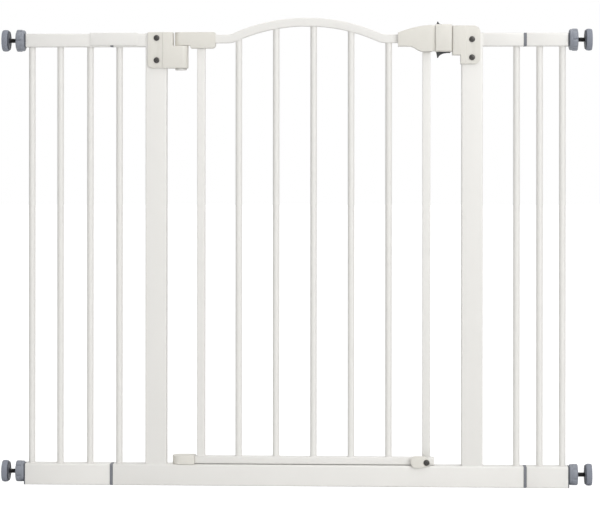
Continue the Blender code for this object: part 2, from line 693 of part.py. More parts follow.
def build_adjuster(name, side, z, dark, blue_grey, black_steel, rubber):
    """Add one adjuster: plug in the rail's end, hand nut, threaded spindle and wall pad."""
    rail = TOP if z == TOP_ADJUSTER else BASE
    radius = TOP_RADIUS if rail is TOP else BASE_RADIUS
    fit = WALL + GAP
    bore = circle(0.0, z, SPINDLE_RADIUS + 0.4, 16)
    insert = section(rail, radius - fit, fit)
    flange = section(rail, radius)
    seat = TUBE_END + GAP
    inner, outer = seat - PLUG_DEPTH, seat + PLUG_FLANGE
    rows = ((insert, inner), (insert, seat), (flange, seat), (flange, outer), (bore, outer), (bore, inner))
    add(f"{name}_end_plug", skin([loop("x", o, side * x) for o, x in rows], ring=True), dark)

    axis = pivot(f"{name}_axis", side * NUT[0], 0.0, z)
    low, high = NUT
    hole = circle(0.0, z, SPINDLE_RADIUS + 0.35, NUT_LOBES * 6)
    hole = hole[-1:] + hole[:-1]
    wide = nut_outline(z, NUT_RADIUS)
    rows = ((nut_outline(z, NUT_RADIUS - 1.2), low), (wide, low + 1.4), (wide, high - 1.6),
            (nut_outline(z, NUT_RADIUS - 2.0), high), (hole, high), (hole, low))
    nut = skin([loop("x", o, side * x) for o, x in rows], ring=True)
    add(f"{name}_hand_nut", nut, blue_grey, axis)

    end = HALF_WIDTH - 5.0
    profile = [(SPINDLE_INNER, 3.2), (SPINDLE_INNER + 1, SPINDLE_RADIUS), (end, SPINDLE_RADIUS)]
    spindle = turned("x", 0.0, z, [(side * x, r) for x, r in profile])
    add(f"{name}_spindle", spindle, black_steel, axis)

    socket = SPINDLE_RADIUS + GAP
    profile = [(end + GAP, socket), (PAD_BACK, socket), (PAD_BACK, PAD_RADIUS - 2.4),
               (PAD_BACK + 0.6, PAD_RADIUS - 0.9), (PAD_BACK + 1.8, PAD_RADIUS),
               (HALF_WIDTH - 1.8, PAD_RADIUS), (HALF_WIDTH - 0.5, PAD_RADIUS - 0.6),
               (HALF_WIDTH, PAD_RADIUS - 1.6)]
    pad = turned("x", 0.0, z, [(side * x, r) for x, r in profile], count=24)
    add(f"{name}_wall_pad", pad, rubber, axis)


# ---------------------------------------------------------------- build

def build():
    """Make the whole gate in an empty scene."""
    for thing in list(bpy.data.objects):
        bpy.data.objects.remove(thing)

    steel = finish("white_powder_coat", (0.79, 0.78, 0.75), 0.42)
    cream = finish("cream_plastic", (0.78, 0.75, 0.68), 0.45)
    grey = finish("grey_plastic", (0.29, 0.29, 0.29), 0.5)
    dark = finish("dark_plastic", (0.06, 0.06, 0.07), 0.5)
    blue_grey = finish("blue_grey_plastic", (0.25, 0.27, 0.33), 0.5)
    rubber = finish("blue_grey_rubber", (0.22, 0.24, 0.30), 0.75)
    grip_grey = finish("dark_grey_grip", (0.07, 0.07, 0.08), 0.6)
    black_steel = finish("black_steel", (0.03, 0.03, 0.03), 0.45, 0.6)
    screw_steel = finish("dark_screw_steel", (0.12, 0.12, 0.12), 0.35, 1.0)
    bright_steel = finish("zinc_steel", (0.6, 0.6, 0.6), 0.35, 1.0)

    build_frame(steel, grey)
    build_sleeve(steel)
    build_bracket(cream, screw_steel, bright_steel)
    build_keeper(cream, screw_steel)

    door_axis = pivot("door_axis", HINGE_X, 0.0, 0.0)
    build_door(steel, cream, door_axis)
    build_handle(cream, door_axis)
    latch_axis = pivot("latch_axis", LATCH[0], 0.0, LATCH_MIDDLE, door_axis)
    build_latch(cream, grip_grey, bright_steel, latch_axis, door_axis)
    stopper_axis = pivot("stopper_axis", STOPPER[0], -CHEEK, STOPPER[1], door_axis)
    build_stopper(cream, screw_steel, stopper_axis)

    for name, (side, z) in ADJUSTERS.items():
        build_adjuster(name, side, z, dark, blue_grey, black_steel, rubber)


build()
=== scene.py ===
"""The looks of the safety gate: painted tubes, moulded plastic, threaded wall adjusters and a studio.

Everything is in metres in the frame's own coordinates: +X to the latch side, -Y to the front, +Z up.
"""

import json
import math

import bmesh
import bpy
from mathutils import Matrix, Vector

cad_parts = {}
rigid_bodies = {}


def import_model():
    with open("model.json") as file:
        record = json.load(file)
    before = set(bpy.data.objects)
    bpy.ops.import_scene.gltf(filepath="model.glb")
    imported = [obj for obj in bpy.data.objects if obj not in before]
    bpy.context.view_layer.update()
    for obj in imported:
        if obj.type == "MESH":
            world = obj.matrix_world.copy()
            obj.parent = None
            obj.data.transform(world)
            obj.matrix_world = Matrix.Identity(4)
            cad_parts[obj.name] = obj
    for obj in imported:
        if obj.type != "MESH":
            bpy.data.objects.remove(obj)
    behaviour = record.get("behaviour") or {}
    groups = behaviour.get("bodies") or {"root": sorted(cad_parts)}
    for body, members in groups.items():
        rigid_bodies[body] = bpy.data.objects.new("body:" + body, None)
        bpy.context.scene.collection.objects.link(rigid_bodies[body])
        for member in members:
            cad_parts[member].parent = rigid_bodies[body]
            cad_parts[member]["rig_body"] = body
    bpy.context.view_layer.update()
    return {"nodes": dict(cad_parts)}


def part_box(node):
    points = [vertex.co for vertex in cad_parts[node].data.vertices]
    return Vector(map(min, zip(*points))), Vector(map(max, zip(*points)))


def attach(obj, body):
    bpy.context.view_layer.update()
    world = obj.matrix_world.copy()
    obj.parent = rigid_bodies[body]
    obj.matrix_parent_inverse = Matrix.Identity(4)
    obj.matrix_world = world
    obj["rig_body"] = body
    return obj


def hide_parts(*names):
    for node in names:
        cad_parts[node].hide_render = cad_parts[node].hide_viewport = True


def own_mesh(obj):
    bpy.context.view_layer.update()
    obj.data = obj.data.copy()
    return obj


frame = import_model()

MM = 0.001
SMOOTH_ANGLE = math.radians(38)
COAT_ROUGHNESS = 0.2
LEAST_RADIUS = 0.3 * MM       # of a tube's inner corners
NOISE_ROUGHNESS = 0.55

# The rule of the door's arched rail, as in the frame
ARCH_CENTRE, ARCH_HALF, ARCH_RISE = 17.7 * MM, 133.5 * MM, 27.7 * MM
ARCH_TURN = math.radians(23.8)
ARCH_SHOULDER = 40.0 * MM

# Depths and places that the frame's boxes do not give
POST_HALF_DEPTH = 11.0 * MM
TOP_HALF_DEPTH = 10.0 * MM
LEFT_POST_SIDE, RIGHT_POST_SIDE = -249.1 * MM, 309.3 * MM
TOP_RAIL_LOW, TOP_RAIL_HIGH = 728.0 * MM, 750.0 * MM
TUBE_WALL, BAR_RADIUS = 1.5 * MM, 5.5 * MM
BASE_RADIUS, TOP_RADIUS, POST_RADIUS, DOOR_RADIUS = 2.5 * MM, 2.1 * MM, 2.0 * MM, 1.5 * MM
HINGE_X = -191.0 * MM
LATCH_MIDDLE = 742.0 * MM
ADJUSTERS = ("left_top", "left_bottom", "right_top", "right_bottom")
THREAD_PITCH = 2.0 * MM
NUT_LOBES, LOBE_ROUNDNESS = 6, 0.35
BOTTOM_NUT_TURN = 19.0        # degrees that the lower nuts are turned on


# ---------------------------------------------------------------- materials

def shade(material, kind, values, **settings):
    """Add a shader node; values maps an input to a number or to another node's output."""
    return step(material.node_tree, kind, values, **settings)


def step(tree, kind, values, **settings):
    """Add a node to a tree and return its outputs."""
    node = tree.nodes.new(kind)
    for key, value in settings.items():
        setattr(node, key, value)
    for key, value in values.items():
        if isinstance(value, bpy.types.NodeSocket):
            tree.links.new(value, node.inputs[key])
        else:
            node.inputs[key].default_value = value
    return node.outputs


def finish(name, colour, other, patch, gloss, grain, metallic=0.0, coat=0.0):
    """Return a material with a patchy colour, an uneven gloss and layers of fine relief.

    colour and other mix in patches of the given size; gloss is the lowest and highest roughness;
    grain is a list of (size, height) for the layers of relief, all in metres.
    """
    material = bpy.data.materials.new(name)
    material.use_nodes = True
    shader = material.node_tree.nodes["Principled BSDF"]
    shader.inputs["Metallic"].default_value = metallic
    shader.inputs["Coat Weight"].default_value = coat
    shader.inputs["Coat Roughness"].default_value = COAT_ROUGHNESS
    place = shade(material, "ShaderNodeTexCoord", {})["Object"]
    patches = noise(material, place, patch, 3.0)
    mix = shade(material, "ShaderNodeMix", {0: patches, 6: (*colour, 1.0), 7: (*other, 1.0)},
                data_type="RGBA")
    link(material, mix[2], shader.inputs["Base Color"])
    worn = noise(material, place, patch * 0.35, 4.0)
    rough = shade(material, "ShaderNodeMapRange", {"Value": worn, "From Min": 0.3, "From Max": 0.7,
                                                   "To Min": gloss[0], "To Max": gloss[1]})
    link(material, rough["Result"], shader.inputs["Roughness"])
    normal = None
    for size, height in grain:
        values = {"Height": noise(material, place, size, 1.5), "Distance": height, "Strength": 1.0}
        if normal is not None:
            values["Normal"] = normal
        normal = shade(material, "ShaderNodeBump", values)["Normal"]
    if normal is not None:
        link(material, normal, shader.inputs["Normal"])
    return material


def link(material, output, socket):
    """Join a node's output to an input."""
    material.node_tree.links.new(output, socket)


def noise(material, place, size, detail):
    """Return the value of a noise whose blobs have a size in metres."""
    return shade(material, "ShaderNodeTexNoise", {"Vector": place, "Scale": 1.0 / size, "Detail": detail,
                                                  "Roughness": NOISE_ROUGHNESS})[0]


def make_finishes():
    """Return every finish by the name of its slot in the record."""
    made = {}
    made["white_steel"] = finish("white_powder_coat", (0.812, 0.802, 0.776), (0.797, 0.787, 0.76), 60 * MM,
                                 (0.30, 0.44), [(1.6 * MM, 0.02 * MM), (0.35 * MM, 0.006 * MM)], coat=0.15)
    made["cream_plastic"] = finish("cream_moulded_plastic", (0.745, 0.727, 0.676), (0.718, 0.70, 0.646),
                                   22 * MM, (0.36, 0.52), [(0.5 * MM, 0.012 * MM), (6 * MM, 0.02 * MM)])
    made["connector_grey"] = finish("grey_moulded_plastic", (0.205, 0.215, 0.24), (0.17, 0.178, 0.20),
                                    9 * MM, (0.42, 0.6), [(0.6 * MM, 0.02 * MM)])
    made["plug_dark"] = finish("dark_moulded_plastic", (0.112, 0.12, 0.145), (0.08, 0.086, 0.105), 9 * MM,
                               (0.38, 0.55), [(0.6 * MM, 0.02 * MM)])
    made["nut_blue_grey"] = finish("blue_grey_moulded_plastic", (0.262, 0.28, 0.325), (0.222, 0.237, 0.275),
                                   12 * MM, (0.32, 0.5), [(0.7 * MM, 0.02 * MM)])
    made["pad_rubber"] = finish("blue_grey_rubber", (0.25, 0.267, 0.315), (0.21, 0.225, 0.268), 12 * MM,
                                (0.62, 0.82), [(0.9 * MM, 0.04 * MM), (0.25 * MM, 0.012 * MM)])
    made["grip_grey"] = finish("dark_soft_grip", (0.055, 0.057, 0.06), (0.038, 0.04, 0.043), 8 * MM,
                               (0.5, 0.7), [(0.45 * MM, 0.02 * MM)])
    made["spindle_black"] = finish("black_oxide_steel", (0.045, 0.045, 0.05), (0.075, 0.072, 0.07), 5 * MM,
                                   (0.3, 0.5), [(0.3 * MM, 0.006 * MM)], metallic=0.75)
    made["screw_steel"] = finish("dark_plated_steel", (0.13, 0.125, 0.12), (0.075, 0.072, 0.07), 2.5 * MM,
                                 (0.24, 0.44), [(0.25 * MM, 0.005 * MM)], metallic=0.9)
    made["bright_steel"] = finish("zinc_plated_steel", (0.84, 0.83, 0.80), (0.76, 0.75, 0.73), 4 * MM,
                                  (0.34, 0.5), [(0.3 * MM, 0.004 * MM)], metallic=0.7)
    return made


FINISH = make_finishes()


# ---------------------------------------------------------------- meshes

def arc(a, b, radius, start, end, steps):
    """Return points of an arc about (a, b) from start to end, in degrees."""
    angles = [math.radians(start + (end - start) * i / steps) for i in range(steps + 1)]
    return [(a + radius * math.cos(t), b + radius * math.sin(t)) for t in angles]


def rounded(a0, a1, b0, b1, radius, steps=6):
    """Return a rounded rectangle, anticlockwise."""
    corners = ((a1 - radius, b1 - radius, 0), (a0 + radius, b1 - radius, 90),
               (a0 + radius, b0 + radius, 180), (a1 - radius, b0 + radius, 270))
    points = []
    for a, b, start in corners:
        points += arc(a, b, radius, start, start + 90, steps)
    return points


def skin(rows, ring=False):
    """Return a closed mesh through equal loops of points; a ring joins its last loop to its first."""
    mesh = bmesh.new()
    loops = [[mesh.verts.new(point) for point in row] for row in rows]
    pairs = list(zip(loops, loops[1:]))
    if ring:
        pairs.append((loops[-1], loops[0]))
    else:
        mesh.faces.new(loops[0])
        mesh.faces.new(loops[-1])
    for low, high in pairs:
        for i in range(len(low)):
            j = (i + 1) % len(low)
            mesh.faces.new((low[i], low[j], high[j], high[i]))
    bmesh.ops.recalc_face_normals(mesh, faces=mesh.faces)
    return mesh


def as_data(name, mesh):
    """Turn a bmesh into a smooth-shaded mesh that keeps its hard edges."""
    data = bpy.data.meshes.new(name)
    mesh.to_mesh(data)
    mesh.free()
    data.shade_smooth()
    data.set_sharp_from_angle(angle=SMOOTH_ANGLE)
    return data


def show(name, data, slot, *nodes):
    """Add a finished piece that rides the body of the nodes that it stands for."""
    data.materials.clear()
    data.materials.append(FINISH[slot])
    piece = bpy.data.objects.new(name, data)
    bpy.context.collection.objects.link(piece)
    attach(piece, frame["nodes"][nodes[0]]["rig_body"])
    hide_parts(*nodes)
    return piece


# ---------------------------------------------------------------- Geometry Nodes

def new_tree(name, inputs):
    """Start a Geometry Nodes tree with named inputs; return it and its input sockets."""
    tree = bpy.data.node_groups.new(name, "GeometryNodeTree")
    face = tree.interface
    face.new_socket(name="Geometry", in_out="INPUT", socket_type="NodeSocketGeometry")
    for label, kind, value in inputs:
        socket = face.new_socket(name=label, in_out="INPUT", socket_type=f"NodeSocket{kind}")
        if value is not None:
            socket.default_value = value
    face.new_socket(name="Geometry", in_out="OUTPUT", socket_type="NodeSocketGeometry")
    return tree, tree.nodes.new("NodeGroupInput").outputs


def close_tree(tree, geometry, material):
    """End a tree in realised instances with smooth shading and a material."""
    smooth = step(tree, "GeometryNodeSetShadeSmooth", {"Geometry": geometry})[0]
    real = step(tree, "GeometryNodeRealizeInstances", {"Geometry": smooth})[0]
    made = step(tree, "GeometryNodeSetMaterial", {"Geometry": real, "Material": material})[0]
    out = tree.nodes.new("NodeGroupOutput")
    tree.links.new(made, out.inputs["Geometry"])


def sums(tree, operation, *values):
    """Return the result of a Math node."""
    return step(tree, "ShaderNodeMath", dict(enumerate(values)), operation=operation)[0]


def turned_tree():
    """Build the tree that turns a profile about Z, with lobes or a screw thread where it is wavy.

    A point of the profile holds its radius in x, the depth of its waves in y and its height in z.
    """
    tree, given = new_tree("turned_part", [("Segments", "Int", 48), ("Lobes", "Int", 0),
                                           ("Roundness", "Float", 0.6), ("Threaded", "Bool", False),
                                           ("Pitch", "Float", 0.002), ("Material", "Material", None)])
    profile = given["Geometry"]
    rows = step(tree, "GeometryNodeAttributeDomainSize", {"Geometry": profile})["Point Count"]
    columns = sums(tree, "ADD", given["Segments"], 1.0)
    grid = step(tree, "GeometryNodeMeshGrid", {"Size X": 1.0, "Size Y": 1.0, "Vertices X": columns,
                                               "Vertices Y": rows})["Mesh"]
    place = step(tree, "ShaderNodeSeparateXYZ", {0: step(tree, "GeometryNodeInputPosition", {})[0]})
    turn = sums(tree, "ADD", place["X"], 0.5)
    share = sums(tree, "ADD", place["Y"], 0.5)
    row = sums(tree, "ROUND", sums(tree, "MULTIPLY", share, sums(tree, "SUBTRACT", rows, 1.0)))
    point = step(tree, "GeometryNodeSampleIndex",
                 {"Geometry": profile, "Index": row,
                  "Value": step(tree, "GeometryNodeInputPosition", {})[0]},
                 data_type="FLOAT_VECTOR", domain="POINT")[0]
    parts = step(tree, "ShaderNodeSeparateXYZ", {0: point})
    angle = sums(tree, "MULTIPLY", turn, 2 * math.pi)
    half_lobes = sums(tree, "MULTIPLY", given["Lobes"], 0.5)
    bulge = sums(tree, "ABSOLUTE", sums(tree, "SINE", sums(tree, "MULTIPLY", angle, half_lobes)))
    lobe = sums(tree, "SUBTRACT", 1.0, sums(tree, "POWER", bulge, given["Roundness"]))
    threads = sums(tree, "DIVIDE", parts["Z"], given["Pitch"])
    phase = sums(tree, "FRACT", sums(tree, "SUBTRACT", threads, turn))
    flank = sums(tree, "ABSOLUTE", sums(tree, "MULTIPLY_ADD", phase, 2.0, -1.0))
    steep = sums(tree, "MULTIPLY_ADD", flank, 1.5, -0.25)
    crest = sums(tree, "MINIMUM", sums(tree, "MAXIMUM", steep, 0.0), 1.0)
    wave = step(tree, "GeometryNodeSwitch", {"Switch": given["Threaded"], "False": lobe, "True": crest},
                input_type="FLOAT")[0]
    radius = sums(tree, "SUBTRACT", parts["X"], sums(tree, "MULTIPLY", parts["Y"], wave))
    spot = step(tree, "ShaderNodeCombineXYZ",
                {"X": sums(tree, "MULTIPLY", radius, sums(tree, "COSINE", angle)),
                 "Y": sums(tree, "MULTIPLY", radius, sums(tree, "SINE", angle)), "Z": parts["Z"]})[0]
    moved = step(tree, "GeometryNodeSetPosition", {"Geometry": grid, "Position": spot})[0]
    joined = step(tree, "GeometryNodeMergeByDistance", {"Geometry": moved, "Distance": 1e-6})[0]
    close_tree(tree, joined, given["Material"])
    return tree


def recess_tree():
    """Build the tree that cuts a cross recess into a screw head that faces +Z."""
    tree, given = new_tree("cross_recess", [("Head Top", "Float", 0.002), ("Reach", "Float", 0.005),
                                            ("Width", "Float", 0.001), ("Depth", "Float", 0.001),
                                            ("Material", "Material", None)])
    tall = sums(tree, "MULTIPLY", given["Depth"], 2.0)
    spot = step(tree, "ShaderNodeCombineXYZ", {"Z": given["Head Top"]})[0]
    arms = []
    for x, y in ((given["Reach"], given["Width"]), (given["Width"], given["Reach"])):
        size = step(tree, "ShaderNodeCombineXYZ", {"X": x, "Y": y, "Z": tall})[0]
        cube = step(tree, "GeometryNodeMeshCube", {"Size": size})["Mesh"]
        arms.append(step(tree, "GeometryNodeTransform", {"Geometry": cube, "Translation": spot})[0])
    cut = given["Geometry"]
    for arm in arms:
        cut = step(tree, "GeometryNodeMeshBoolean", {"Mesh 1": cut, "Mesh 2": arm},
                   operation="DIFFERENCE", solver="EXACT")[0]
    close_tree(tree, cut, given["Material"])
    return tree


def bar_tree():
    """Build the tree that makes a round bar between two heights."""
    tree, given = new_tree("round_bar", [("Across", "Float", 0.0), ("Low", "Float", 0.0),
                                         ("High", "Float", 1.0), ("Radius", "Float", 0.0055),
                                         ("Sides", "Int", 40), ("Material", "Material", None)])
    ends = [step(tree, "ShaderNodeCombineXYZ", {"X": given["Across"], "Z": given[height]})[0]
            for height in ("Low", "High")]
    line = step(tree, "GeometryNodeCurvePrimitiveLine", {"Start": ends[0], "End": ends[1]})[0]
    ring = step(tree, "GeometryNodeCurvePrimitiveCircle", {"Resolution": given["Sides"],
                                                           "Radius": given["Radius"]})[0]
    bar = step(tree, "GeometryNodeCurveToMesh",
               {"Curve": line, "Profile Curve": ring, "Fill Caps": True})[0]
    close_tree(tree, bar, given["Material"])
    return tree


def bead_tree():
    """Build the tree that runs a round bead along a wire, a little uneven as a weld is."""
    tree, given = new_tree("bead_along_wire", [("Radius", "Float", 0.001), ("Spacing", "Float", 0.0008),
                                               ("Sides", "Int", 10), ("Unevenness", "Float", 0.0002),
                                               ("Seed", "Float", 1.0), ("Material", "Material", None)])
    wire = step(tree, "GeometryNodeMeshToCurve", {"Mesh": given["Geometry"]})[0]
    even = step(tree, "GeometryNodeResampleCurve", {"Curve": wire, "Length": given["Spacing"]},
                mode="LENGTH")[0]
    place = step(tree, "GeometryNodeInputPosition", {})[0]
    wobble = step(tree, "ShaderNodeTexNoise",
                  {"Vector": place, "W": given["Seed"], "Scale": 450.0, "Detail": 1.0},
                  noise_dimensions="4D")["Color"]
    centred = step(tree, "ShaderNodeVectorMath", {0: wobble, 1: (0.5, 0.5, 0.5)}, operation="SUBTRACT")[0]
    push = step(tree, "ShaderNodeVectorMath", {0: centred, "Scale": given["Unevenness"]},
                operation="SCALE")[0]
    loose = step(tree, "GeometryNodeSetPosition", {"Geometry": even, "Offset": push})[0]
    ring = step(tree, "GeometryNodeCurvePrimitiveCircle", {"Resolution": given["Sides"],
                                                           "Radius": given["Radius"]})[0]
    bead = step(tree, "GeometryNodeCurveToMesh",
                {"Curve": loose, "Profile Curve": ring, "Fill Caps": True})[0]
    close_tree(tree, bead, given["Material"])
    return tree


TURNED, RECESS, BAR, BEAD = turned_tree(), recess_tree(), bar_tree(), bead_tree()


def grow(name, points, edges, *stages):
    """Run trees, each with its values, on a wire and return the plain mesh that they make."""
    wire = bpy.data.meshes.new(f"{name}_wire")
    wire.from_pydata(points, edges, [])
    thing = bpy.data.objects.new(f"{name}_maker", wire)
    bpy.context.collection.objects.link(thing)
    for tree, values in stages:
        modifier = thing.modifiers.new(tree.name, "NODES")
        modifier.node_group = tree
        for item in tree.interface.items_tree:
            if item.in_out == "INPUT" and item.name in values:
                modifier[item.identifier] = values[item.name]
    bpy.context.view_layer.update()
    depsgraph = bpy.context.evaluated_depsgraph_get()
    data = bpy.data.meshes.new_from_object(thing.evaluated_get(depsgraph))
    bpy.data.objects.remove(thing)
    data.name = name
    return data


def outward(data, turn=None):
    """Place a grown mesh with a matrix, face it outwards and mark its hard edges."""
    mesh = bmesh.new()
    mesh.from_mesh(data)
    if turn is not None:
        bmesh.ops.transform(mesh, matrix=turn, verts=mesh.verts)
    bmesh.ops.remove_doubles(mesh, verts=mesh.verts, dist=1e-7)
    bmesh.ops.recalc_face_normals(mesh, faces=mesh.faces)
    return as_data(data.name, mesh)


def turned(name, profile, slot, turn, segments=48, **values):
    """Return a part turned from (radius, height) or (radius, wave, height) points, then placed."""
    points = [(p[0], 0.0, p[1]) if len(p) == 2 else p for p in profile]
    edges = [(i, i + 1) for i in range(len(points) - 1)]
    values.update({"Segments": segments, "Material": FINISH[slot]})
    return outward(grow(name, points, edges, (TURNED, values)), turn)


# ---------------------------------------------------------------- tubes

def tube_rows(outline_at, ends, wall, edge=0.35 * MM):
    """Return the loops of a tube with softened ends; outline_at(inset, along) gives one loop."""
    low, high = ends
    soft = edge * 0.3
    rows = [outline_at(edge, low), outline_at(soft, low + soft), outline_at(0.0, low + edge)]
    rows += [outline_at(0.0, high - edge), outline_at(soft, high - soft), outline_at(edge, high)]
    rows += [outline_at(wall, high), outline_at(wall, low)]
    return rows


def rail(name, radius, wall=TUBE_WALL):
    """Show a square rail along X in place of its node."""
    low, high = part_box(name)

    def outline_at(inset, x):
        loop = rounded(low.y + inset, high.y - inset, low.z + inset, high.z - inset,
                       max(radius - inset, LEAST_RADIUS))
        return [(x, y, z) for y, z in loop]

    rows = tube_rows(outline_at, (low.x, high.x), wall)
    return show(f"{name}_painted", as_data(name, skin(rows, ring=True)), "white_steel", name)


def upright(name, radius, wall=TUBE_WALL):
    """Show a square upright in place of its node."""
    low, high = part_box(name)

    def outline_at(inset, z):
        loop = rounded(low.x + inset, high.x - inset, low.y + inset, high.y - inset,
                       max(radius - inset, LEAST_RADIUS))
        return [(x, y, z) for x, y in loop]

    rows = tube_rows(outline_at, (low.z, high.z), wall)
    return show(f"{name}_painted", as_data(name, skin(rows, ring=True)), "white_steel", name)


def add_prism(mesh, axis, loop, low, high, edge):
    """Add a closed bar with softened ends to a mesh; loop(inset) gives its outline."""
    places = {"x": lambda a, b, t: (t, a, b), "z": lambda a, b, t: (a, b, t)}
    rows = []
    for inset, along in ((edge, low), (edge * 0.3, low + edge * 0.3), (0.0, low + edge), (0.0, high - edge),
                         (edge * 0.3, high - edge * 0.3), (edge, high)):
        rows.append([places[axis](a, b, along) for a, b in loop(inset)])
    part = skin(rows)
    data = bpy.data.meshes.new("part")
    part.to_mesh(data)
    part.free()
    mesh.from_mesh(data)
    bpy.data.meshes.remove(data)


def post(name, stub_end, stub_start):
    """Show a post with a closed top and the short top rail that is welded to its outer side."""
    low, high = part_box(name)
    x0, x1 = (stub_start, high.x) if name.startswith("left") else (low.x, stub_start)
    mesh = bmesh.new()

    def wide(inset):
        return rounded(x0 + inset, x1 - inset, inset - POST_HALF_DEPTH, POST_HALF_DEPTH - inset,
                       POST_RADIUS - inset)

    def stub(inset):
        return rounded(inset - TOP_HALF_DEPTH, TOP_HALF_DEPTH - inset, TOP_RAIL_LOW + inset, high.z - inset,
                       TOP_RADIUS - inset)

    add_prism(mesh, "z", wide, low.z, high.z, 0.6 * MM)
    inside = 1.2 * MM if name.startswith("left") else -1.2 * MM
    ends = sorted((stub_end, stub_start + inside))
    add_prism(mesh, "x", stub, ends[0], ends[1], 0.3 * MM)
    return show(f"{name}_painted", as_data(name, mesh), "white_steel", name)


def build_rails_and_posts():
    """Show the square tubes of the frame and of the two extensions."""
    rail("base_rail", BASE_RADIUS)
    for side in ("left", "right"):
        rail(f"{side}_extension_top_rail", TOP_RADIUS)
        rail(f"{side}_extension_bottom_rail", BASE_RADIUS)
    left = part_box("left_post")
    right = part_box("right_post")
    post("left_post", left[0].x, LEFT_POST_SIDE)
    post("right_post", right[1].x, RIGHT_POST_SIDE)
    upright("hinge_stile", DOOR_RADIUS)
    upright("latch_stile", DOOR_RADIUS)
    rail("door_bottom_rail", DOOR_RADIUS)


def arch_path(steps=26):
    """Return the door's top rail as (x, height above its flats, slope), from hinge to latch."""
    crown = ARCH_RISE / (1 - math.cos(ARCH_TURN)) - ARCH_SHOULDER
    flat = ARCH_HALF - (crown + ARCH_SHOULDER) * math.sin(ARCH_TURN)
    half = []
    for i in range(steps // 3 + 1):
        slope = ARCH_TURN * i / (steps // 3)
        x = ARCH_SHOULDER * math.sin(slope) - ARCH_HALF
        half.append((x, ARCH_SHOULDER * (1 - math.cos(slope)), slope))
    for i in range(1, steps + 1):
        slope = ARCH_TURN * (1 - i / steps)
        half.append((-flat - crown * math.sin(slope), ARCH_RISE - crown * (1 - math.cos(slope)), slope))
    low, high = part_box("door_top_rail")
    path = [(low.x, 0.0, 0.0)]
    path += [(ARCH_CENTRE + x, height, slope) for x, height, slope in half]
    path += [(ARCH_CENTRE - x, height, -slope) for x, height, slope in reversed(half[:-1])]
    path.append((high.x, 0.0, 0.0))
    return path


def arch_underside(x):
    """Return the height and slope of the arched rail's underside at x."""
    middle, half = arch_section()
    points = [(px + half * math.sin(s), middle + h - half * math.cos(s), s) for px, h, s in arch_path()]
    for (x0, z0, s0), (x1, z1, s1) in zip(points, points[1:]):
        if x0 <= x <= x1:
            share = (x - x0) / (x1 - x0)
            return z0 + (z1 - z0) * share, s0 + (s1 - s0) * share
    return points[0][1], 0.0


def arch_section():
    """Return the middle height of the arched rail's flats and half of its thickness."""
    half = (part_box("door_top_rail")[1].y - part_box("door_top_rail")[0].y) / 2
    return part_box("door_top_rail")[0].z + half, half


def build_arched_rail():
    """Show the door's top rail, a square tube swept over the arch."""
    middle, half = arch_section()
    rows = []
    for inset, path in ((0.0, arch_path()), (TUBE_WALL, arch_path()[::-1])):
        loop = rounded(inset - half, half - inset, inset - half, half - inset,
                       max(DOOR_RADIUS - inset, 0.4 * MM))
        for x, height, slope in path:
            across, up = math.sin(slope), math.cos(slope)
            rows.append([(x - b * across, a, middle + height + b * up) for a, b in loop])
    data = as_data("door_top_rail", skin(rows, ring=True))
    show("door_top_rail_painted", data, "white_steel", "door_top_rail")


def build_bars():
    """Show every round bar of the frame and the door."""
    names = [name for name in frame["nodes"] if "_bar" in name]
    for name in sorted(names):
        low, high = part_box(name)
        x = (low.x + high.x) / 2
        top = high.z
        if name.startswith("door_bar"):
            top = arch_underside(x)[0] + 1.0 * MM
        values = {"Across": x, "Low": low.z - 0.4 * MM, "High": top + 0.3 * MM,
                  "Radius": (high.x - low.x) / 2, "Material": FINISH["white_steel"]}
        data = outward(grow(name, [(0, 0, 0)], [], (BAR, values)))
        show(f"{name}_painted", data, "white_steel", name)


# ---------------------------------------------------------------- welds

def ring_at(x, y, z, radius, slope=0.0, count=28):
    """Return a circle of points about an upright axis, tilted to a slope."""
    points = []
    for i in range(count):
        turn = 2 * math.pi * i / count
        across = radius * math.cos(turn)
        points.append((x + across, y + radius * math.sin(turn), z + across * math.tan(slope)))
    return points


